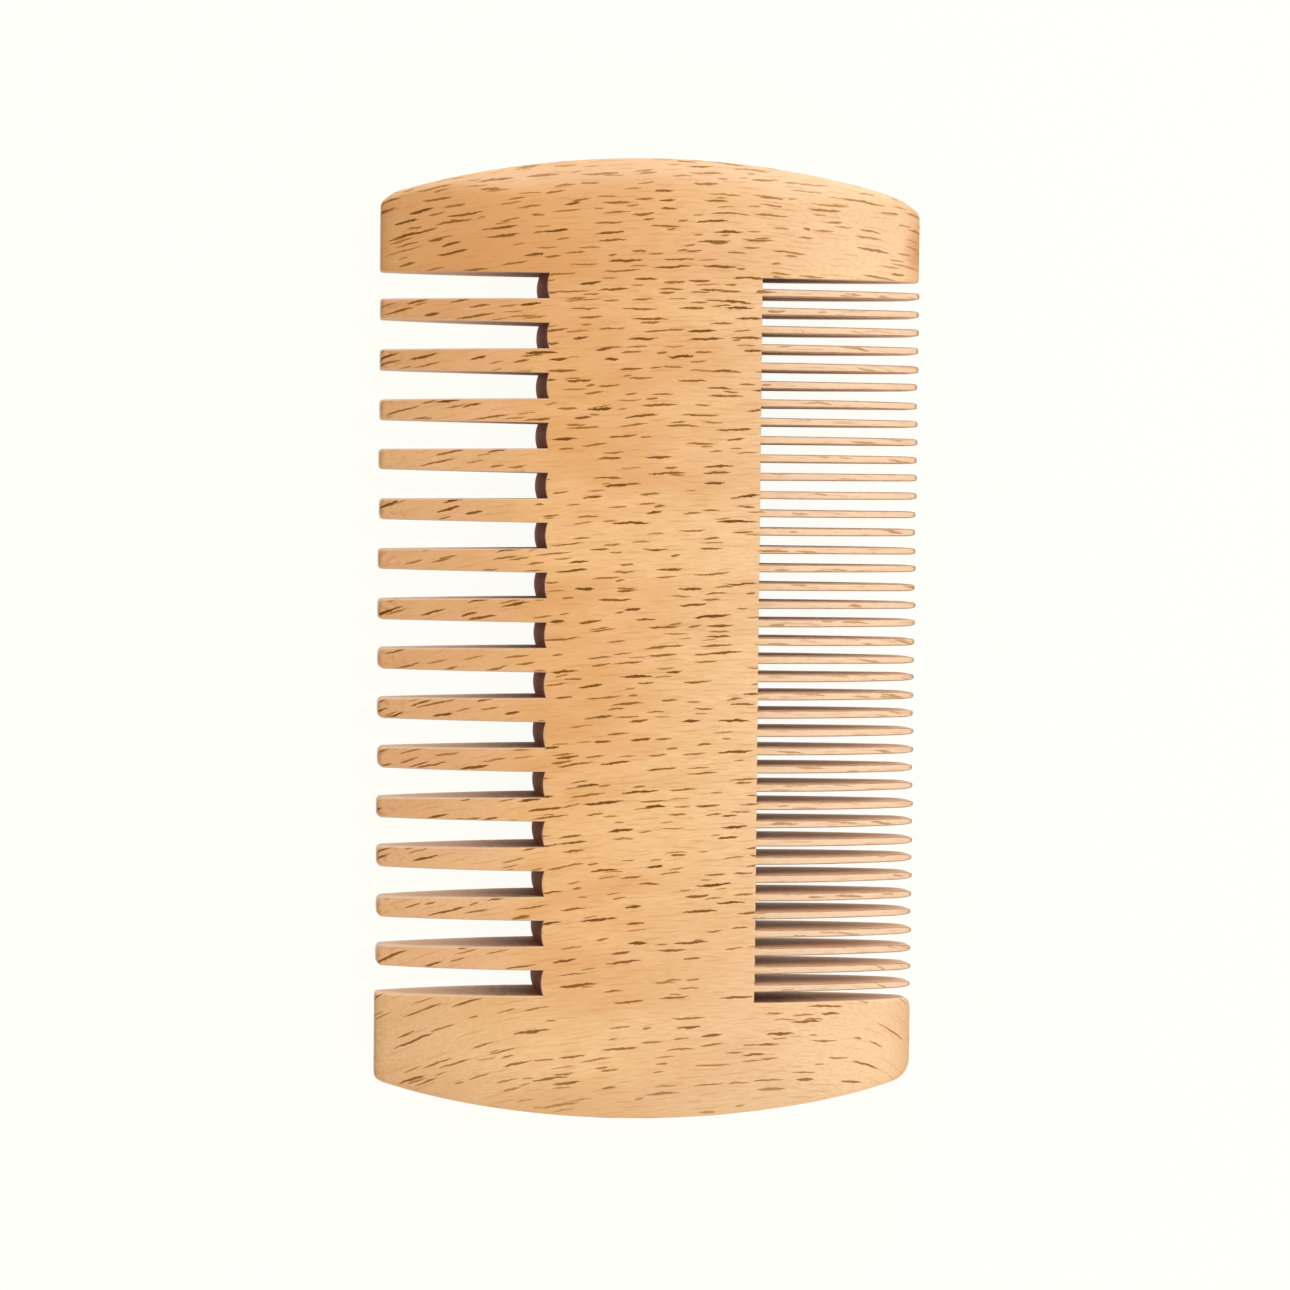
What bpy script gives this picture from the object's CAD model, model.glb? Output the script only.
"""Looks of the double-sided beard comb: one detailed mesh for each CAD node, and one wood material.

Every mesh is a loft: a closed section is worked out at each station along X (teeth and guards) or along
Y (spine), and neighbouring sections are joined. Lengths in the shape code are in millimetres.
"""
import math
import random
from typing import NamedTuple

import bmesh
import bpy
import numpy as np
from mathutils import Matrix, Vector


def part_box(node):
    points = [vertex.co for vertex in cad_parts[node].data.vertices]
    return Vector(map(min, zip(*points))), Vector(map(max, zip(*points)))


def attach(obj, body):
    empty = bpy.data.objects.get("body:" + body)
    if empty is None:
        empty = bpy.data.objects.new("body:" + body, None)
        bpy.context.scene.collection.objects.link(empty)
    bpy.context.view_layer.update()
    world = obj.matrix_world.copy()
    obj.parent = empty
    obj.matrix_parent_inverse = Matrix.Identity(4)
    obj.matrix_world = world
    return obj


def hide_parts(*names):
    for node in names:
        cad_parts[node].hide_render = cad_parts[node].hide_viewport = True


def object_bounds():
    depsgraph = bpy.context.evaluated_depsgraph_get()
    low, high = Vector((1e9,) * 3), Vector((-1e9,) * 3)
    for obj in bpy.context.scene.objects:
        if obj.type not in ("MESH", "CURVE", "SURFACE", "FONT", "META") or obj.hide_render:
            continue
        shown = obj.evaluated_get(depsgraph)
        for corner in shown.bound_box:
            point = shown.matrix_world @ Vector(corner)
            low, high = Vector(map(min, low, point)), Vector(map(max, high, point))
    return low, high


MM = 0.001
SEED = 11

# Shape of the board, as in the CAD
FACE_CURVE_R = 39.5      # radius of the curve that thins the faces towards the tips
TIP_EDGE = 0.4           # softened edge of the tips, seen along the comb
RIM_BAND = 5.0           # width of the band where the faces roll down to the curved ends
RIM_DROP = 1.6           # how far each face has dropped at the curved ends
RIM_EDGE = 0.6           # rounding of the edge of the curved ends
END_ROLLS = {            # width and depth of the rounding of each guard's ends, wide side and fine side
    "top": ((1.2, 0.5), (2.2, 0.8)),
    "bottom": ((1.2, 0.5), (3.0, 0.8)),
}
BLEND_POWER = 3.0        # how softly the two face curves meet

# Shape of the slots and teeth
SLOT_EDGE = 0.14         # softened edge along a wide slot
FINE_EDGE = 0.15         # softened edge along a fine slot
WIDE_OUTLINE = 0.15      # scorch along the softened edges of a wide tooth
FINE_OUTLINE = 0.6       # the same for a fine tooth
WIDE_BURN = (1.0, 1.0)   # shares of a wide tooth's wall scorch at its back and its front face
FINE_BURN = (1.9, -0.5)  # the same for a fine tooth: below 0 its wall is paler than its face
WIDE_WALL = (0.7, 0.08)  # scorch on the walls of wide teeth and guards, at a slot's blind end and mouth
FINE_WALL = (0.24, 0.16)         # the same on the walls of fine teeth
WALL_FADE = 1.8          # how fast the walls' scorch fades towards the mouth
EDGE_FADE = 5            # how fast it fades round a softened edge
KERF_BULGE = 0.22        # how far a wide slot's blind end bulges into the slot
FINE_BULGE = 0.05        # the same for a fine slot
WIDE_ROOT_W = 2.42       # width of a wide tooth at its root
WIDE_TIP_W = 2.06        # the same at its tip
WIDE_CORNER = 0.48       # rounding of a wide tooth's tip, in the middle and below
WIDE_CORNER_LOSS = 0.01  # how much sharper it is for each millimetre above the middle
WIDE_TIP_GROWTH = 0.7    # share by which a wide tooth's softened edge grows towards its tip
GUARD_TIP_GROWTH = 1.5   # the same for the softened edge along a guard's inner side
FINE_W = 0.79            # width of a fine tooth
FINE_NOSE_LENGTH = (1.9, 0.9)    # at the lowest and at the highest fine tooth
FINE_NOSE_W = (0.28, 0.46)       # the same for the width of the nose's blunt end
FINE_TAPER = 0.03        # how much narrower half of a fine tooth is at its tip
MOST_OF_WIDTH = 0.98     # largest share of half of a tooth's width that a softened edge takes
MOST_OF_HEIGHT = 0.9     # the same for half of its thickness
MOST_OF_RIM = 0.85       # the same for half of a guard's thickness at its rim
GUARD_BROAD = 0.4        # least share of a guard's length that its broad face takes
TOP_ARC_R = 91.0         # radius of the curved end above the top guard
BOTTOM_ARC_R = 97.0      # the same below the bottom guard

# Small differences between teeth: the most that a tooth differs by
WIDE_TIP_SHORT = 0.1     # how far a wide tooth falls short
WIDE_CORNER_VARIES = 0.08        # how much rounder or sharper the corners of its tip are
WIDE_TIP_LEANS = 0.05    # how far its tip leans up or down
WIDE_TIP_VARIES = 0.03   # how much wider or narrower half of its tip is
FINE_TIP_SHORT = 0.15    # how far a fine tooth falls short
FINE_NOSE_VARIES = (0.85, 1.2)   # smallest and largest share of its nose's length
FINE_TIP_LEANS = 0.06    # how far its tip leans up or down
FINE_MIDDLE_LEANS = 0.02         # how far its middle bows up or down
FINE_WIDTH_VARIES = 0.03         # how much wider or narrower it is

# Outer corners, wide side and fine side: radius, and how far past the end its circle would reach
CORNERS = {
    "top": ((4.0, 1.0), (12.0, 5.0)),
    "bottom": ((3.0, 1.2), (2.7, 0.25)),
}
CORNER_EDGE = 0.3        # rounding where an outer corner meets the flat end
GUARD_INNER_CORNER = {   # rounding of the inner corners of each guard, wide side and fine side
    "top": (0.2, 0.2),
    "bottom": (0.25, 0.9),
}

# Steps of the lofts and care of the meshes
EDGE_STEPS = 4
WALL_STEPS = 4
NEAR = 0.004             # stations closer than this are one station
MERGE = 2e-7             # points closer than this, in metres, are one point
SHARP_ANGLE = 38.0       # faces that meet at more than this keep a crisp edge
FACE_WEIGHT = 80         # how strongly the broad faces set the shading

# Where the teeth's own tones start: X where they fade in, and the half length of each row
WIDE_TONES = (-12.0, -15.0)
FINE_TONES = (9.6, 12.4)
WIDE_ROW = 34.2          # reaches into the outermost wide slots, at both ends
FINE_ROW = 35.4          # the same for the fine slots

# Camera: turned away from straight above the comb, far off with a long lens, in degrees and millimetres
CAMERA_YAW = 7.9
CAMERA_PITCH = 2.1
CAMERA_ROLL = 0.6
CAMERA_DISTANCE = 413.0
CAMERA_LENS = 116.8
CAMERA_AIM = (-0.94, -0.39)

# Floor, in metres
FLOOR_HALF = 1.5
FLOOR_GAP = 0.00002      # how far the floor lies below the comb

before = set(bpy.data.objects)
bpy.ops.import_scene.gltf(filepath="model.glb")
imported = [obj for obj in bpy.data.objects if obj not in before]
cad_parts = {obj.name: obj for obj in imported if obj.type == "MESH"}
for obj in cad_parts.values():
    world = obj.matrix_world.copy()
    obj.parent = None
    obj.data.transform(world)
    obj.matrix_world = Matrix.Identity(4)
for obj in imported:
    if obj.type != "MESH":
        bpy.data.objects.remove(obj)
cad_low, cad_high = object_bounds()


# ---------------------------------------------------------------- sizes from the frame

def box_mm(node):
    """Lowest and highest corner of a CAD node in millimetres."""
    low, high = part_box(node)
    return np.array(low) / MM, np.array(high) / MM


HALF_W = (cad_high.x - cad_low.x) / 2 / MM
HALF_L = (cad_high.y - cad_low.y) / 2 / MM
HALF_T = (cad_high.z - cad_low.z) / 2 / MM
spine_low, spine_high = box_mm("spine")
WIDE_ROOT = spine_low[0]
FINE_ROOT = spine_high[0]
LAND = max(-WIDE_ROOT, FINE_ROOT)


def row_nodes(kind):
    """Names of the CAD nodes of a row of teeth, from the top."""
    return sorted(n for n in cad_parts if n.startswith(kind))


def row_centres(kind):
    """Y of the middle of each tooth in a row."""
    return [float((box_mm(n)[0][1] + box_mm(n)[1][1]) / 2) for n in row_nodes(kind)]


WIDE_Y = row_centres("wide_tooth")
FINE_Y = row_centres("fine_tooth")

# Y of each guard's inner edge, beside the wide teeth and beside the fine teeth
SHOULDERS = {
    "top": (spine_high[1], box_mm("top_guard")[0][1]),
    "bottom": (WIDE_Y[0] + WIDE_Y[-1] - spine_high[1], spine_low[1]),
}


# ---------------------------------------------------------------- shared curves

def round_over(into, radius):
    """How far a rounding of this radius has dropped, at a distance into it."""
    return radius - math.sqrt(max(radius ** 2 - into ** 2, 0.0))


def face_drop(x):
    """How far the face lies below the spine's land at x, without the tip rounding."""
    return round_over(max(abs(x) - LAND, 0.0), FACE_CURVE_R)


def rim_drop(depth):
    """How far the face has rolled down at a depth inside the curved end's edge."""
    roll_r = (RIM_BAND ** 2 + RIM_DROP ** 2) / (2 * RIM_DROP)
    return round_over(min(max(RIM_BAND - depth, 0.0), RIM_BAND), roll_r)


def tip_drop(x):
    """How far the softened edge of the tips lowers the face at x."""
    return round_over(max(abs(x) - (HALF_W - TIP_EDGE), 0.0), TIP_EDGE)


def end_drop(x, rolls):
    """How far the rounded end of a guard lies below the curved face at x."""
    width, depth = rolls[0] if x < 0 else rolls[1]
    into = min(max(abs(x) - (HALF_W - width), 0.0) / width, 1.0)
    return depth * (1 - math.sqrt(1 - into ** 2))


def tooth_half_thickness(x):
    """Half of a tooth's thickness at x."""
    return HALF_T - face_drop(x) - tip_drop(x)


def guard_half_thickness(x, depth, rolls):
    """Half of a guard's thickness at x, and at a depth inside its curved edge."""
    drop = (face_drop(x) ** BLEND_POWER + rim_drop(depth) ** BLEND_POWER) ** (1 / BLEND_POWER)
    return HALF_T - drop - end_drop(x, rolls)


def quarter(steps=EDGE_STEPS):
    """Angles from a wall (0) to a face (a quarter turn)."""
    return [math.pi / 2 * k / steps for k in range(steps + 1)]


def spread(*groups):
    """Sorted values of several lists, without near repeats."""
    values = sorted(v for g in groups for v in g)
    kept = [values[0]]
    for v in values[1:]:
        if v - kept[-1] > NEAR:
            kept.append(v)
    kept[-1] = values[-1]
    return kept


# ---------------------------------------------------------------- meshes

def loft(name, rings, nodes):
    """A closed mesh through rings of (x, y, z, scorch) points, with flat ends."""
    count = len(rings[0])
    points = np.array(rings, float).reshape(-1, 4)
    faces = []
    for s in range(len(rings) - 1):
        for k in range(count):
            a, b = s * count + k, s * count + (k + 1) % count
            faces.append((a, b, b + count, a + count))
    faces.append(tuple(range(count - 1, -1, -1)))
    faces.append(tuple(range((len(rings) - 1) * count, len(rings) * count)))
    mesh = bpy.data.meshes.new(name)
    mesh.from_pydata((points[:, :3] * MM).tolist(), [], faces)
    scorch = mesh.attributes.new("scorch", "FLOAT", "POINT")
    scorch.data.foreach_set("value", points[:, 3].astype(np.float32))
    tidy_mesh(mesh)
    piece = bpy.data.objects.new(name, mesh)
    bpy.context.scene.collection.objects.link(piece)
    weigh_normals(piece)
    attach(piece, "root")
    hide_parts(*nodes)
    return piece


def tidy_mesh(mesh):
    """Merges points that coincide, turns every face outwards and marks the crisp edges."""
    bm = bmesh.new()
    bm.from_mesh(mesh)
    bmesh.ops.remove_doubles(bm, verts=bm.verts, dist=MERGE)
    bmesh.ops.dissolve_degenerate(bm, dist=MERGE, edges=bm.edges)
    bmesh.ops.recalc_face_normals(bm, faces=bm.faces)
    for face in bm.faces:
        face.smooth = True
    sharp = math.radians(SHARP_ANGLE)
    for edge in bm.edges:
        edge.smooth = len(edge.link_faces) == 2 and edge.calc_face_angle(0.0) < sharp
    bm.to_mesh(mesh)
    bm.free()


def weigh_normals(piece):
    """Lets the broad faces set the shading, so that softened edges look rolled and faces look flat."""
    bpy.context.view_layer.objects.active = piece
    piece.select_set(True)
    modifier = piece.modifiers.new("weighted", "WEIGHTED_NORMAL")
    modifier.keep_sharp = True
    modifier.weight = FACE_WEIGHT
    bpy.ops.object.modifier_apply(modifier=modifier.name)
    piece.select_set(False)


def wall_scorch(along, wall):
    """Scorch on a slot's wall: deepest at its blind end, faint at its mouth, where along is 1."""
    deepest, mouth = wall
    return mouth + (deepest - mouth) * (1 - min(along, 1.0)) ** WALL_FADE


def scorch_at(angle, amount, outline=0.0):
    """Scorch on a softened edge, from the wall at angle 0 to the face at a quarter turn.

    The wall's own amount fades out before the face, and the outline is deepest half way.
    """
    return amount * math.cos(angle) ** EDGE_FADE + outline * math.sin(2 * angle)


def wall_points(place, from_z, scorch):
    """Points across a wall, from one height to the opposite one, without its two ends."""
    return [(place, z, scorch) for z in np.linspace(from_z, -from_z, WALL_STEPS + 1)[1:-1]]


# ---------------------------------------------------------------- teeth

def tooth_ring(x, y, half_w, half_h, edge, wall, outline, burn):
    """Rounded rectangle across a tooth at x, with its walls and its long edges scorched.

    burn holds the shares of the wall's scorch at the back and at the front face. The softened
    edges take no share below 0.
    """
    edge_y = min(edge, half_w * MOST_OF_WIDTH)
    edge_z = min(edge, half_h * MOST_OF_HEIGHT)
    back, front = (wall * share for share in burn)
    corner = [(half_w - edge_y * (1 - math.cos(a)), half_h - edge_z * (1 - math.sin(a)), a)
              for a in quarter()]
    depths = np.linspace(half_h - edge_z, -half_h + edge_z, WALL_STEPS + 1)[1:-1]
    side = [(half_w, z, float(np.interp(z, (-half_h, half_h), (back, front)))) for z in depths]
    right = [(w, z, scorch_at(a, max(front, 0.0), outline)) for w, z, a in reversed(corner)]
    right += side + [(w, -z, scorch_at(a, back, outline)) for w, z, a in corner]
    left = [(-w, z, s) for w, z, s in reversed(right)]
    middle_top = [(0.0, half_h, 0.0)]
    middle_bottom = [(0.0, -half_h, 0.0)]
    return [(x, y + w, HALF_T + z, s) for w, z, s in middle_top + right + middle_bottom + left]


def either_way(rng, most):
    """A random value between -most and most."""
    return rng.uniform(-most, most)


def wide_tooth(node, y, rng):
    """A wide tooth: it narrows a little, and its tip is nearly square, sharpest in the upper rows."""
    tip_x = -HALF_W + rng.uniform(0.0, WIDE_TIP_SHORT)
    corner = WIDE_CORNER - WIDE_CORNER_LOSS * max(y, 0.0) + either_way(rng, WIDE_CORNER_VARIES)
    lean = either_way(rng, WIDE_TIP_LEANS)
    wider = either_way(rng, WIDE_TIP_VARIES)
    stations = spread(np.linspace(WIDE_ROOT, tip_x + corner, 22).tolist(),
                      [tip_x + corner * (1 - math.sin(a)) for a in quarter(7)],
                      [tip_x + TIP_EDGE * (1 - math.sin(a)) for a in quarter(6)])
    rings = []
    for x in reversed(stations):
        along = (x - WIDE_ROOT) / (tip_x - WIDE_ROOT)
        half_w = (WIDE_ROOT_W + (WIDE_TIP_W - WIDE_ROOT_W) * along) / 2 + wider * along
        half_w -= round_over(max(corner - (x - tip_x), 0.0), corner)
        edge = SLOT_EDGE * (1 + WIDE_TIP_GROWTH * along ** 3)
        wall = wall_scorch(along, WIDE_WALL)
        offset = -HALF_W - tip_x
        half_h = tooth_half_thickness(x + offset * along)
        rings.append(tooth_ring(x, y + lean * along ** 2, half_w, half_h, edge, wall,
                                WIDE_OUTLINE, WIDE_BURN))
    return loft(node, rings, [node])


def fine_tooth(node, y, rng):
    """A fine tooth: straight sides, then a nose that narrows to a blunt end, bluntest at the top."""
    tip_x = HALF_W - rng.uniform(0.0, FINE_TIP_SHORT)
    row = (FINE_Y[-1], FINE_Y[0])
    nose_length = float(np.interp(y, row, FINE_NOSE_LENGTH)) * rng.uniform(*FINE_NOSE_VARIES)
    blunt = float(np.interp(y, row, FINE_NOSE_W)) / 2
    lean = either_way(rng, FINE_TIP_LEANS)
    middle_lean = either_way(rng, FINE_MIDDLE_LEANS)
    wider = either_way(rng, FINE_WIDTH_VARIES)
    stations = spread(np.linspace(FINE_ROOT, tip_x - nose_length, 18).tolist(),
                      [tip_x - nose_length * (1 - math.sin(a)) for a in quarter(9)],
                      [tip_x - TIP_EDGE * (1 - math.sin(a)) for a in quarter(6)])
    rings = []
    for x in stations:
        along = (x - FINE_ROOT) / (tip_x - FINE_ROOT)
        side = (FINE_W + wider * min(along * 4, 1.0)) / 2
        into = max(x - (tip_x - nose_length), 0.0) / nose_length
        half_w = blunt + (side - blunt) * math.sqrt(max(1 - into ** 2, 0.0)) - FINE_TAPER * along
        wall = wall_scorch(along, FINE_WALL)
        offset = HALF_W - tip_x
        centre = y + lean * along ** 2 + middle_lean * math.sin(math.pi * along)
        half_h = tooth_half_thickness(x + offset * along)
        rings.append(tooth_ring(x, centre, half_w, half_h, FINE_EDGE, wall, FINE_OUTLINE, FINE_BURN))
    return loft(node, rings, [node])


# ---------------------------------------------------------------- guards

def arc_end(x, arc_r, corners):
    """Y of a curved end at x, for an end with its apex at HALF_L and a rounded corner on each side."""
    corner, beyond = corners[0] if x < 0 else corners[1]
    across = HALF_W + beyond - corner
    rise = math.sqrt((arc_r - corner) ** 2 - across ** 2)
    if abs(x) <= across * arc_r / (arc_r - corner):
        above = math.sqrt(arc_r ** 2 - x ** 2)
    else:
        above = rise + math.sqrt(max(corner ** 2 - (abs(x) - across) ** 2, 0.0))
    softened = round_over(max(abs(x) - (HALF_W - CORNER_EDGE), 0.0), CORNER_EDGE)
    return HALF_L - arc_r + above - softened


def guard_stations(corners, inner_corners, rolls):
    """Places along X where a guard's section is worked out, close together where it changes fast."""
    margin = 2.0
    marks = [np.linspace(-HALF_W + margin, HALF_W - margin, 72).tolist()]
    for side, corner, inner, roll in ((-1, corners[0], inner_corners[0], rolls[0]),
                                      (1, corners[1], inner_corners[1], rolls[1])):
        for reach in (roll[0], corner[0] - corner[1], inner, CORNER_EDGE):
            marks.append([side * (HALF_W - reach * (1 - math.sin(a))) for a in quarter(8)])
        marks.append([side * (HALF_W - inset) for inset in np.linspace(1.0, 5.0, 10)])
    for root, turn, edge in ((WIDE_ROOT, 1, SLOT_EDGE), (FINE_ROOT, -1, FINE_EDGE)):
        marks.append([root + turn * edge * (1 - math.cos(a)) for a in quarter(5)])
    return spread(*marks)


def guard_ring(x, arc_r, corners, shoulders, inner_corners, rolls):
    """Closed section of a guard across Y at x, for the guard at the upper end."""
    wide_y, fine_y = shoulders
    outer = arc_end(x, arc_r, corners)
    if x < 0:
        past, edge, end_r = x - WIDE_ROOT, SLOT_EDGE, inner_corners[0]
    else:
        past, edge, end_r = FINE_ROOT - x, FINE_EDGE, inner_corners[1]
    seam = np.interp(x, [WIDE_ROOT, FINE_ROOT], [wide_y, fine_y])
    inner = seam + round_over(max(abs(x) - (HALF_W - end_r), 0.0), end_r)
    past = min(max(past, 0.0), edge)
    along = max(abs(x) - LAND, 0.0) / (HALF_W - LAND)
    if past == 0.0:
        edge *= 1 + GUARD_TIP_GROWTH * along ** 3
    reach = math.sqrt(max(edge ** 2 - past ** 2, 0.0))
    wall = reach / edge * wall_scorch(along, WIDE_WALL)
    rim_edge = min(RIM_EDGE, MOST_OF_RIM * guard_half_thickness(x, 0.0, rolls))
    face = []
    for a in quarter():
        y = inner + reach * (1 - math.cos(a))
        within = min(math.hypot(past, y - inner), edge)
        height = guard_half_thickness(x, outer - y, rolls) - round_over(edge - within, edge)
        face.append((y, height, scorch_at(a, wall)))
    broad_start = face[-1][0]
    broad_end = max(outer - RIM_BAND - RIM_EDGE, broad_start + GUARD_BROAD * (outer - broad_start))
    broad = np.linspace(broad_start, broad_end, 7)[1:]
    band = np.linspace(broad_end, outer - rim_edge, 9)[1:]
    face += [(y, guard_half_thickness(x, outer - y, rolls), 0.0) for y in np.concatenate([broad, band])]
    for a in reversed(quarter(6)[:-1]):
        depth = rim_edge * (1 - math.cos(a))
        height = guard_half_thickness(x, depth, rolls) - rim_edge * (1 - math.sin(a))
        face.append((outer - depth, height, 0.0))
    back = [(y, -z, s) for y, z, s in reversed(face)]
    outer_side = wall_points(outer, face[-1][1], 0.0)
    inner_side = wall_points(inner, -face[0][1], wall)
    return [(x, y, HALF_T + z, s) for y, z, s in face + outer_side + back + inner_side]


def guard(node, end, arc_r, flip):
    """One curved end. The lower one is worked out as an upper one and turned over in Y."""
    shoulders = tuple(flip * y for y in SHOULDERS[end])
    corners, inner_corners, rolls = CORNERS[end], GUARD_INNER_CORNER[end], END_ROLLS[end]
    rings = [guard_ring(x, arc_r, corners, shoulders, inner_corners, rolls)
             for x in guard_stations(corners, inner_corners, rolls)]
    rings = [[(x, flip * y, z, s) for x, y, z, s in ring] for ring in rings]
    return loft(node, rings, [node])


# ---------------------------------------------------------------- spine

def slot_spans(centres, half_w, shoulder_top, shoulder_bottom):
    """(low y, high y) of each slot in a row, from the bottom up."""
    edges = [shoulder_bottom]
    for y in reversed(centres):
        edges += [y - half_w, y + half_w]
    edges.append(shoulder_top)
    return list(zip(edges[0::2], edges[1::2]))


def side_profile(y, spans, root, side, edge, bulge):
    """Front half of the spine's side at y, from its wall to its face: (x, z below the face, scorch)."""
    low, high = min(spans, key=lambda s: max(s[0] - y, y - s[1]))
    outside = max(low - y, y - high)
    if outside <= 0:
        across = (y - low) / (high - low) * 2 - 1
        wall = root + side * bulge * (1 - across ** 2)
        past = 0.0
    else:
        wall = root
        past = min(outside, edge)
    reach = math.sqrt(max(edge ** 2 - past ** 2, 0.0))
    burnt = reach / edge
    points = []
    for a in quarter():
        x = reach * (1 - math.cos(a))
        within = min(math.hypot(past, x), edge)
        points.append((wall - side * x, round_over(edge - within, edge), scorch_at(a, burnt)))
    return points, burnt


def spine_stations(spans, edge, steps):
    """Places along Y where the spine's side changes: round each slot's corners and across its end."""
    marks = []
    for low, high in spans:
        marks += np.linspace(low, high, steps).tolist()
        marks += [low - edge * (1 - math.cos(a)) for a in quarter(3)]
        marks += [high + edge * (1 - math.cos(a)) for a in quarter(3)]
    return marks


def spine():
    """The flat middle land, whose two sides hold the blind ends of all the slots."""
    wide = slot_spans(WIDE_Y, WIDE_ROOT_W / 2, SHOULDERS["top"][0], SHOULDERS["bottom"][0])
    fine = slot_spans(FINE_Y, FINE_W / 2, SHOULDERS["top"][1], SHOULDERS["bottom"][1])
    marks = spread(spine_stations(wide, SLOT_EDGE, 9), spine_stations(fine, FINE_EDGE, 5))
    margin = 0.01
    inside = [y for y in marks if wide[0][0] + margin < y < fine[-1][1] - margin]
    stations = [SHOULDERS["bottom"]] + [(y, y) for y in inside] + [SHOULDERS["top"]]
    rings = []
    for left_y, right_y in stations:
        left, left_burnt = side_profile(left_y, wide, WIDE_ROOT, -1, SLOT_EDGE, KERF_BULGE)
        right, right_burnt = side_profile(right_y, fine, FINE_ROOT, 1, FINE_EDGE, FINE_BULGE)
        across = np.linspace(left[-1][0], right[-1][0], 5)[1:-1]
        face = [(x, HALF_T - low, s) for x, low, s in left]
        face += [(x, HALF_T, 0.0) for x in across]
        face += [(x, HALF_T - low, s) for x, low, s in reversed(right)]
        back = [(x, -z, s) for x, z, s in reversed(face)]
        right_side = wall_points(face[-1][0], face[-1][1], right_burnt)
        left_side = wall_points(face[0][0], -face[0][1], left_burnt)
        ring = face + right_side + back + left_side
        ys = [float(np.interp(x, (WIDE_ROOT, FINE_ROOT), (left_y, right_y))) for x, _, _ in ring]
        rings.append([(x, y, HALF_T + z, s) for y, (x, z, s) in zip(ys, ring)])
    return loft("spine", rings, ["spine"])


# ---------------------------------------------------------------- wood

class Nodes:
    """Short calls for building a node tree."""

    def __init__(self, tree):
        self.tree = tree

    def add(self, kind, **settings):
        node = self.tree.nodes.new(kind)
        for key, value in settings.items():
            setattr(node, key, value)
        return node

    def link(self, source, target):
        self.tree.links.new(source, target)

    def put(self, socket, value):
        if isinstance(value, bpy.types.NodeSocket):
            self.link(value, socket)
        else:
            socket.default_value = value

    def math(self, operation, a, b=0.0, c=0.0, clamp=False):
        node = self.add("ShaderNodeMath", operation=operation, use_clamp=clamp)
        for socket, value in zip(node.inputs, (a, b, c)):
            self.put(socket, value)
        return node.outputs[0]

    def plus(self, a, b):
        return self.math("ADD", a, b)

    def minus(self, a, b):
        return self.math("SUBTRACT", a, b)

    def times(self, a, b):
        return self.math("MULTIPLY", a, b)

    def size(self, a):
        """A value without its sign."""
        return self.math("ABSOLUTE", a)

    def line(self, pick, low, high):
        """A value from low to high as pick goes from 0 to 1."""
        return self.math("MULTIPLY_ADD", pick, high - low, low)

    def ramp(self, value, low, high, to_low=0.0, to_high=1.0):
        """Goes smoothly from to_low to to_high as value goes from low to high."""
        node = self.add("ShaderNodeMapRange", interpolation_type="SMOOTHSTEP")
        for socket, v in zip(node.inputs, (value, low, high, to_low, to_high)):
            self.put(socket, v)
        return node.outputs[0]

    def combine(self, x, y, z=0.0):
        node = self.add("ShaderNodeCombineXYZ")
        for socket, value in zip(node.inputs, (x, y, z)):
            self.put(socket, value)
        return node.outputs[0]

    def split(self, vector):
        parts = self.add("ShaderNodeSeparateXYZ")
        self.link(vector, parts.inputs[0])
        return parts.outputs

    def noise(self, vector, scale, detail=2.0, roughness=0.5):
        node = self.add("ShaderNodeTexNoise")
        self.link(vector, node.inputs["Vector"])
        node.inputs["Scale"].default_value = scale
        node.inputs["Detail"].default_value = detail
        node.inputs["Roughness"].default_value = roughness
        return node.outputs["Fac"]

    def white(self, vector):
        """Three random values for a place."""
        noise = self.add("ShaderNodeTexWhiteNoise", noise_dimensions="3D")
        self.link(vector, noise.inputs["Vector"])
        parts = self.add("ShaderNodeSeparateColor")
        self.link(noise.outputs["Color"], parts.inputs[0])
        return parts.outputs

    def blend(self, factor, a, b):
        node = self.add("ShaderNodeMix", data_type="FLOAT")
        for socket, value in zip((node.inputs[0], node.inputs[2], node.inputs[3]), (factor, a, b)):
            self.put(socket, value)
        return node.outputs[0]

    def mix(self, factor, a, b):
        node = self.add("ShaderNodeMix", data_type="RGBA")
        for socket, value in zip((node.inputs[0], node.inputs[6], node.inputs[7]), (factor, a, b)):
            self.put(socket, value)
        return node.outputs[2]


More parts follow.
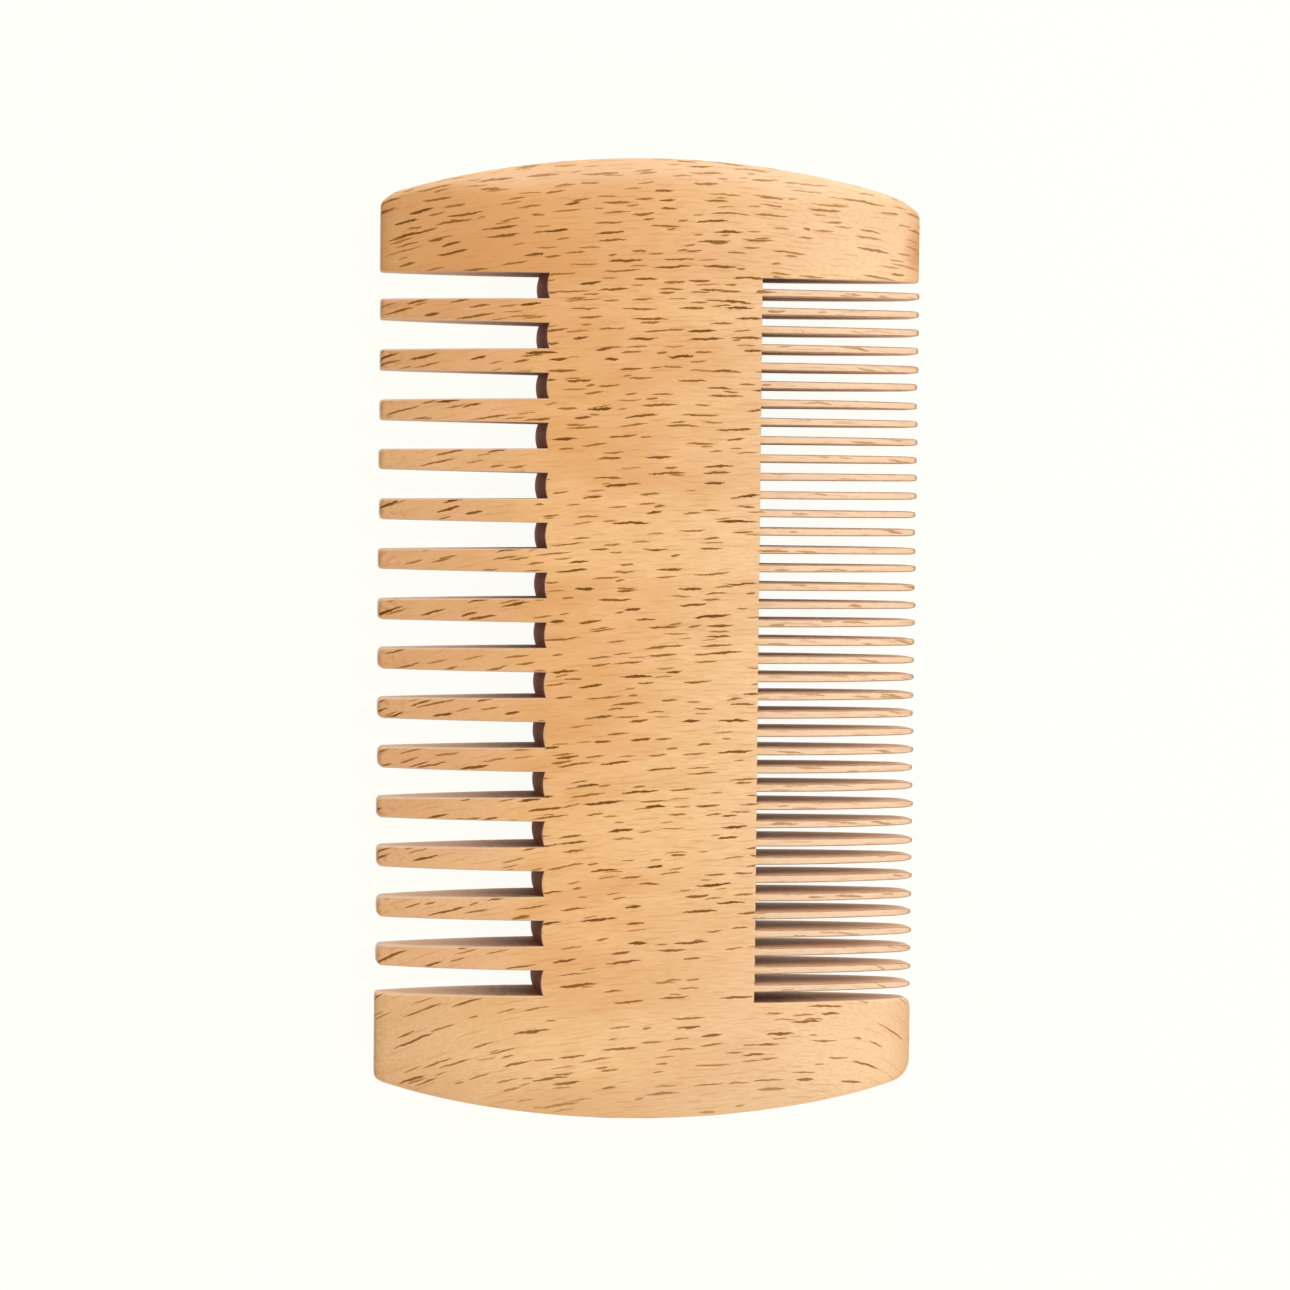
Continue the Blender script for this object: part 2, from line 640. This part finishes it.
class Wood(Nodes):
    """The wood's node tree, with the place in millimetres, the way the surface faces, and the grain."""

    def __init__(self, tree):
        super().__init__(tree)
        place = self.add("ShaderNodeVectorMath", operation="SCALE")
        self.link(self.add("ShaderNodeTexCoord").outputs["Object"], place.inputs[0])
        place.inputs["Scale"].default_value = 1 / MM
        self.place = place.outputs[0]
        self.x, self.y, self.z = self.split(self.place)
        self.facing_x, self.facing_y, _ = self.split(self.add("ShaderNodeNewGeometry").outputs["Normal"])
        self.grain = self.grain_line()
        along_fibre = self.combine(self.times(self.x, 0.12), self.grain, self.times(self.z, 1.5))
        self.fibre = self.noise(along_fibre, 6.0, 3.0, 0.6)
        self.wide_teeth = self.times(self.ramp(self.x, *WIDE_TONES), self.beside(WIDE_ROW))
        self.fine_teeth = self.times(self.ramp(self.x, *FINE_TONES), self.beside(FINE_ROW))

    def beside(self, half_row):
        """1 beside a row of teeth, 0 beside the guards."""
        return self.math("LESS_THAN", self.size(self.y), half_row)

    def grain_line(self):
        """Which grain line runs through a place, in millimetres across the grain.

        The rays are ribbons that lean through the board, so they slant where the face curves away. Their
        slope eases off towards the fine teeth and the upper end, and they curl at the lower corners.
        """
        x, y = self.x, self.y
        slope = self.math("MULTIPLY_ADD", x, -0.00225, self.math("MULTIPLY_ADD", y, -0.0008, 0.045))
        level = self.minus(self.minus(y, self.times(x, slope)), self.times(self.z, 0.3))
        past_right = self.math("MAXIMUM", self.plus(x, -20.0), 0.0)
        past_left = self.math("MAXIMUM", self.minus(-16.0, x), 0.0)
        curl = self.plus(self.times(self.times(past_right, past_right), 0.055),
                         self.times(self.times(past_left, past_left), 0.008))
        curl = self.times(curl, self.ramp(y, -28.0, -36.0))
        wander = self.times(self.plus(self.noise(self.place, 0.05, 1.0), -0.5), 1.2)
        ripple = self.times(self.plus(self.noise(self.place, 0.5, 1.0), -0.5), 0.3)
        return self.plus(self.plus(level, curl), self.plus(wander, ripple))

    def fleck_line(self):
        """The grain line, or a line by height along X on surfaces that face along the comb."""
        along_side = self.math("GREATER_THAN", self.size(self.facing_y), 0.75)
        side_line = self.plus(self.plus(self.z, self.times(self.y, 0.3)), 60.0)
        return self.blend(along_side, self.grain, side_line)


def srgb(r, g, b):
    """A colour given as 0 to 255 values on screen."""
    channels = [c / 255 for c in (r, g, b)]
    return tuple(c / 12.92 if c <= 0.04045 else ((c + 0.055) / 1.055) ** 2.4 for c in channels) + (1.0,)


# Colours of the wood
DARK_BEECH = srgb(228, 169, 108)
LIGHT_BEECH = srgb(244, 195, 136)
PINK_PATCH = srgb(244, 188, 140)
PALE_RIGHT = srgb(254, 219, 178)
BROWN_UPPER_LEFT = srgb(212, 144, 84)
PALE_LOWER_END = srgb(246, 206, 160)
UPPER_WIDE_TEETH = srgb(229, 174, 127)
LOWER_WIDE_TEETH = srgb(243, 195, 149)
PINK_WIDE_TEETH = srgb(246, 186, 150)
BROWN_FIBRE = srgb(214, 154, 98)
PALE_FINE_TEETH = srgb(238, 208, 180)
BLUSHED_FINE_TEETH = srgb(206, 138, 112)
PALE_ROLLED_END = srgb(252, 216, 180)
BROWN_SPECKLE = srgb(206, 130, 88)
STAIN = srgb(204, 130, 70)
END_GRAIN = srgb(166, 110, 66)
FINE_TIPS = srgb(112, 88, 66)
FAINT_FLECK = srgb(196, 132, 70)
LIGHT_FLECK = srgb(180, 122, 58)
DARK_FLECK = srgb(104, 60, 2)
BLEACHED = srgb(255, 238, 214)
PALE_SCORCH = srgb(225, 197, 171)
BROWN_SCORCH = srgb(172, 128, 92)
DEEP_SCORCH = srgb(146, 82, 56)

# Gloss and relief of the wood
ROUGHNESS = (0.44, 0.54)     # least and most, along the fibres
FLECK_ROUGHNESS = 0.16       # how much rougher a fleck is
SCORCH_ROUGHNESS = 0.2       # how much rougher scorched wood is
SPECULAR = 0.07
RELIEF = 0.00004             # height of the pores and flecks, in metres
RELIEF_STRENGTH = 0.35

# Flecks of every kind
ROW_SHIFT = 37.0             # how many cells a row of cells is shifted by, at most
FLECK_ROOM = 3.4             # half widths of a cell kept free for a fleck and its bends
FLECK_BEND = 2.2             # how far a fleck's middle line wanders in all, in half widths
FLECK_TAPER = 2.6            # how blunt its ends are


class Flecks(NamedTuple):
    """One kind of fleck, with lengths in millimetres."""
    seed: float
    cell: tuple              # length and width of the cells, each of which holds one fleck at most
    share: float             # share of the cells that hold one
    half_length: tuple       # smallest and largest half length
    half_width: tuple        # the same for the half width
    sharp: float             # how crisp its outline is


BOLD = Flecks(3.0, (5.2, 0.95), 0.62, (0.8, 2.1), (0.09, 0.155), 4.0)
SMALL = Flecks(47.3, (3.4, 0.75), 0.32, (0.5, 1.4), (0.075, 0.13), 3.0)
FAINT = Flecks(91.6, (5.0, 0.6), 0.7, (0.8, 2.2), (0.07, 0.13), 1.6)


def crowding(n):
    """How crowded the flecks are: more at the upper end, fewer at the lower end and to the right."""
    ends = n.times(n.ramp(n.y, 22.0, 38.0, 1.0, 1.35), n.ramp(n.y, -26.0, -36.0, 1.0, 0.72))
    return n.times(ends, n.ramp(n.x, 8.0, 20.0, 1.0, 0.82))


def flecks(n, v, kind):
    """Lens-shaped flecks along X, one at a random place in a share of the cells.

    v is the place across the grain. Gives 1 inside a fleck and 0 outside, and how dark each fleck is,
    from 0 to 1. Wider flecks are darker.
    """
    seed, cell, share, half_length, half_width, sharp = kind
    row_at = n.plus(n.math("DIVIDE", v, cell[1]), seed)
    row = n.math("FLOOR", row_at)
    shift = n.white(n.combine(row, seed, 1.0))[0]
    column_at = n.math("MULTIPLY_ADD", shift, ROW_SHIFT, n.math("DIVIDE", n.x, cell[0]))
    column = n.math("FLOOR", column_at)
    place_u, place_v, length_pick = n.white(n.combine(column, row, seed))
    share_pick, width_pick, lean_pick = n.white(n.combine(column, row, seed + 0.5))
    long = n.line(length_pick, *half_length)
    wide = n.line(width_pick, *half_width)
    centred_u = n.times(n.plus(n.minus(column_at, column), -0.5), cell[0])
    centred_v = n.times(n.plus(n.minus(row_at, row), -0.5), cell[1])
    room_u = n.math("MULTIPLY_ADD", long, -2.0, cell[0])
    room_v = n.math("MULTIPLY_ADD", wide, -FLECK_ROOM, cell[1])
    from_u = n.minus(centred_u, n.times(n.plus(place_u, -0.5), room_u))
    from_v = n.minus(centred_v, n.times(n.plus(place_v, -0.5), room_v))
    along = n.math("DIVIDE", from_u, long)
    lean = n.times(n.plus(lean_pick, -0.2), along)
    ragged = n.noise(n.combine(n.times(n.x, 1.5), n.times(v, 4.0), seed), 1.0, 2.0, 0.6)
    bend = n.plus(lean, n.times(n.plus(ragged, -0.5), FLECK_BEND))
    across = n.size(n.minus(n.math("DIVIDE", from_v, wide), bend))
    taper = n.math("POWER", n.size(along), FLECK_TAPER)
    inside = n.minus(n.minus(1.0, taper), across)
    shape = n.math("MULTIPLY", inside, sharp, clamp=True)
    alive = n.math("LESS_THAN", share_pick, n.times(crowding(n), share))
    return n.times(shape, alive), width_pick


def stain_flecks(n, colour, found, depth, share):
    """Lays flecks over a colour, each in its own tone of brown, covering a share of it."""
    tone = n.mix(depth, LIGHT_FLECK, DARK_FLECK)
    return n.mix(n.times(found, share), colour, tone)


def clean_wood(n):
    """The wood without flecks: pink and yellow drift, browner upper left, paler to the right."""
    drift = n.noise(n.combine(n.times(n.x, 0.22), n.grain, n.times(n.z, 0.3)), 0.16, 3.0, 0.55)
    patch = n.noise(n.combine(n.times(n.x, 0.5), n.grain, 7.0), 0.28, 2.0)
    colour = n.mix(n.ramp(drift, 0.34, 0.66), DARK_BEECH, LIGHT_BEECH)
    colour = n.mix(n.ramp(patch, 0.48, 0.7, 0.0, 0.42), colour, PINK_PATCH)
    colour = n.mix(n.ramp(n.x, -12.0, 27.0, 0.0, 0.68), colour, PALE_RIGHT)
    upper_left = n.times(n.ramp(n.y, 20.0, 40.0), n.ramp(n.x, 16.0, -18.0))
    colour = n.mix(n.times(upper_left, 0.6), colour, BROWN_UPPER_LEFT)
    colour = n.mix(n.ramp(n.y, -24.0, -42.0, 0.0, 0.36), colour, PALE_LOWER_END)
    tooth = n.mix(n.ramp(n.y, 10.0, -32.0), UPPER_WIDE_TEETH, LOWER_WIDE_TEETH)
    pink = n.noise(n.combine(n.times(n.x, 0.16), n.times(n.y, 0.7), 3.0), 1.0, 2.0)
    tooth = n.mix(n.ramp(pink, 0.5, 0.68, 0.0, 0.8), tooth, PINK_WIDE_TEETH)
    colour = n.mix(n.times(n.wide_teeth, 0.5), colour, tooth)
    colour = n.mix(n.ramp(n.fibre, 0.3, 0.75, 0.0, 0.4), colour, BROWN_FIBRE)
    colour = n.mix(n.times(n.fine_teeth, 0.55), colour, PALE_FINE_TEETH)
    blush = n.noise(n.combine(n.times(n.x, 0.35), n.times(n.y, 3.0)), 1.0, 1.0)
    blush = n.times(n.ramp(blush, 0.55, 0.75, 0.0, 0.5), n.fine_teeth)
    return n.mix(blush, colour, BLUSHED_FINE_TEETH)


def worn_ends(n, colour):
    """Paler where the upper end rolls down, browner end grain at tips and ends, and a small stain."""
    colour = n.mix(n.ramp(n.facing_y, 0.12, 0.5, 0.0, 0.5), colour, PALE_ROLLED_END)
    speckle = n.noise(n.combine(n.x, n.times(n.y, 1.3), 5.0), 1.4, 2.0)
    speckle = n.times(n.ramp(speckle, 0.5, 0.66, 0.0, 0.5), n.ramp(n.x, -23.0, -26.5))
    speckle = n.times(speckle, n.line(n.wide_teeth, 0.4, 1.0))
    colour = n.mix(speckle, colour, BROWN_SPECKLE)
    from_stain = n.size(n.plus(n.y, -39.0))
    stain = n.times(n.ramp(n.x, 24.6, 26.6, 0.0, 0.55), n.ramp(from_stain, 2.6, 0.6))
    colour = n.mix(stain, colour, STAIN)
    left_end = n.ramp(n.facing_x, -0.75, -0.97, 0.0, 0.5)
    right_end = n.ramp(n.facing_x, 0.2, 0.85, 0.0, 0.48)
    colour = n.mix(n.plus(left_end, right_end), colour, END_GRAIN)
    fine_tips = n.times(n.fine_teeth, n.ramp(n.facing_x, 0.3, 0.9, 0.0, 0.6))
    return n.mix(fine_tips, colour, FINE_TIPS)


def fleck_strength(n):
    """Fainter flecks on the fine teeth, where the ends roll down, at the lower end and upper right."""
    strength = n.line(n.fine_teeth, 1.0, 0.4)
    strength = n.times(strength, n.ramp(n.size(n.facing_y), 0.08, 0.4, 1.0, 0.5))
    strength = n.times(strength, n.ramp(n.y, -20.0, -42.0, 1.0, 0.85))
    upper_right = n.times(n.ramp(n.x, 6.0, 18.0), n.ramp(n.y, 30.0, 38.0))
    return n.times(strength, n.line(upper_right, 1.0, 0.6))


def scorched(n, colour, scorch):
    """Sawn slot walls: pale brown at a slot's mouth, and dark brown towards its blind end.

    Below 0 the scorch bleaches the wood.
    """
    streaks = n.noise(n.combine(n.x, n.times(n.y, 1.4), n.times(n.z, 0.35)), 1.6, 2.0)
    burn = n.math("MULTIPLY", scorch, n.ramp(streaks, 0.2, 0.8, 0.8, 1.12), clamp=True)
    colour = n.mix(n.ramp(scorch, 0.0, -0.08), colour, BLEACHED)
    colour = n.mix(n.ramp(burn, 0.0, 0.1, 0.0, 0.7), colour, PALE_SCORCH)
    colour = n.mix(n.ramp(burn, 0.15, 0.6), colour, BROWN_SCORCH)
    return n.mix(n.ramp(burn, 0.5, 1.0), colour, DEEP_SCORCH)


def beech():
    """Sanded beech with brown ray flecks and dark sawn slot walls."""
    material = bpy.data.materials.new("beech")
    material.use_nodes = True
    material.node_tree.nodes.clear()
    n = Wood(material.node_tree)
    line = n.fleck_line()
    bold, bold_depth = flecks(n, line, BOLD)
    small, small_depth = flecks(n, line, SMALL)
    faint, _ = flecks(n, line, FAINT)
    strength = fleck_strength(n)
    colour = worn_ends(n, clean_wood(n))
    cover = n.line(strength, 0.45, 1.0)
    colour = n.mix(n.times(faint, 0.3), colour, FAINT_FLECK)
    small_depth = n.times(n.line(small_depth, 0.1, 0.55), strength)
    colour = stain_flecks(n, colour, small, small_depth, n.times(cover, 0.9))
    bold_depth = n.times(n.line(bold_depth, 0.2, 0.85), strength)
    colour = stain_flecks(n, colour, bold, bold_depth, cover)
    scorch = n.add("ShaderNodeAttribute", attribute_name="scorch").outputs["Fac"]
    colour = scorched(n, colour, scorch)

    shader = n.add("ShaderNodeBsdfPrincipled")
    n.link(colour, shader.inputs["Base Color"])
    rough = n.plus(n.ramp(n.fibre, 0.2, 0.8, *ROUGHNESS), n.times(bold, FLECK_ROUGHNESS))
    rough = n.math("MULTIPLY_ADD", scorch, SCORCH_ROUGHNESS, rough, clamp=True)
    n.link(rough, shader.inputs["Roughness"])
    shader.inputs["Specular IOR Level"].default_value = SPECULAR

    height = n.minus(n.times(n.fibre, 0.25), n.plus(n.times(bold, 0.35), n.times(small, 0.2)))
    bump = n.add("ShaderNodeBump")
    bump.inputs["Strength"].default_value = RELIEF_STRENGTH
    bump.inputs["Distance"].default_value = RELIEF
    n.link(height, bump.inputs["Height"])
    n.link(bump.outputs[0], shader.inputs["Normal"])
    output = n.add("ShaderNodeOutputMaterial")
    n.link(shader.outputs[0], output.inputs["Surface"])
    return material


# ---------------------------------------------------------------- stage

def paper():
    """Bright matt paper that glows a little, so that the floor stays white between the teeth."""
    material = bpy.data.materials.new("paper")
    material.use_nodes = True
    shader = material.node_tree.nodes["Principled BSDF"]
    shader.inputs["Base Color"].default_value = (0.05, 0.05, 0.048, 1.0)
    shader.inputs["Roughness"].default_value = 1.0
    shader.inputs["Specular IOR Level"].default_value = 0.0
    shader.inputs["Emission Color"].default_value = (0.995, 1.0, 0.945, 1.0)
    shader.inputs["Emission Strength"].default_value = 0.965
    return material


def floor():
    half = FLOOR_HALF
    corners = [(-half, -half, 0), (half, -half, 0), (half, half, 0), (-half, half, 0)]
    mesh = bpy.data.meshes.new("floor")
    mesh.from_pydata(corners, [], [(0, 1, 2, 3)])
    piece = bpy.data.objects.new("floor", mesh)
    piece.location.z = -FLOOR_GAP
    mesh.materials.append(paper())
    bpy.context.scene.collection.objects.link(piece)


def soft_light(name, place, size, power):
    """A round lamp that points at the middle of the comb, in metres and watts."""
    light = bpy.data.lights.new(name, "AREA")
    light.shape = "DISK"
    light.size = size
    light.energy = power
    lamp = bpy.data.objects.new(name, light)
    lamp.location = place
    lamp.rotation_euler = (-Vector(place)).to_track_quat("-Z", "Y").to_euler()
    bpy.context.scene.collection.objects.link(lamp)


def studio():
    """A pale room, dimmer overhead, with three soft lamps."""
    world = bpy.data.worlds.new("studio")
    world.use_nodes = True
    sky = world.node_tree.nodes["Background"]
    sky.inputs["Color"].default_value = (1.0, 1.0, 0.975, 1.0)
    n = Nodes(world.node_tree)
    height = n.size(n.split(n.add("ShaderNodeTexCoord").outputs["Generated"])[2])
    n.link(n.ramp(height, 0.05, 0.4, 0.965, 0.45), sky.inputs["Strength"])
    bpy.context.scene.world = world
    soft_light("key", (0.50, 0.25, 0.70), 0.5, 3.6)
    soft_light("fill", (0.30, -0.55, 0.60), 0.5, 1.6)
    soft_light("back", (0.05, 0.80, 0.30), 0.4, 1.8)
    bpy.context.scene.view_settings.view_transform = "Standard"


def camera():
    """Looks at the comb from nearly straight above, turned towards the wide teeth and the top."""
    yaw, pitch, roll = (math.radians(v) for v in (CAMERA_YAW, CAMERA_PITCH, CAMERA_ROLL))
    aim = Vector((CAMERA_AIM[0], CAMERA_AIM[1], 2 * HALF_T)) * MM
    back = Vector((-math.sin(yaw) * math.cos(pitch), math.sin(pitch), math.cos(yaw) * math.cos(pitch)))
    right = (-back).cross(Vector((0, 1, 0))).normalized()
    up = back.cross(right)
    data = bpy.data.cameras.new("camera")
    data.sensor_width = 36.0
    data.lens = CAMERA_LENS
    data.clip_start = 0.01
    data.clip_end = 10.0
    piece = bpy.data.objects.new("camera", data)
    turn = Matrix((right, up, back)).transposed().to_4x4() @ Matrix.Rotation(roll, 4, "Z")
    piece.matrix_world = Matrix.Translation(aim + back * CAMERA_DISTANCE * MM) @ turn
    bpy.context.scene.collection.objects.link(piece)
    bpy.context.scene.camera = piece


# ---------------------------------------------------------------- the comb

camera()
studio()
floor()
wood = beech()
rng = random.Random(SEED)
pieces = [spine()]
pieces.append(guard("top_guard", "top", TOP_ARC_R, 1))
pieces.append(guard("bottom_guard", "bottom", BOTTOM_ARC_R, -1))
pieces += [wide_tooth(node, y, rng) for node, y in zip(row_nodes("wide_tooth"), WIDE_Y)]
pieces += [fine_tooth(node, y, rng) for node, y in zip(row_nodes("fine_tooth"), FINE_Y)]
for piece in pieces:
    piece.data.materials.append(wood)
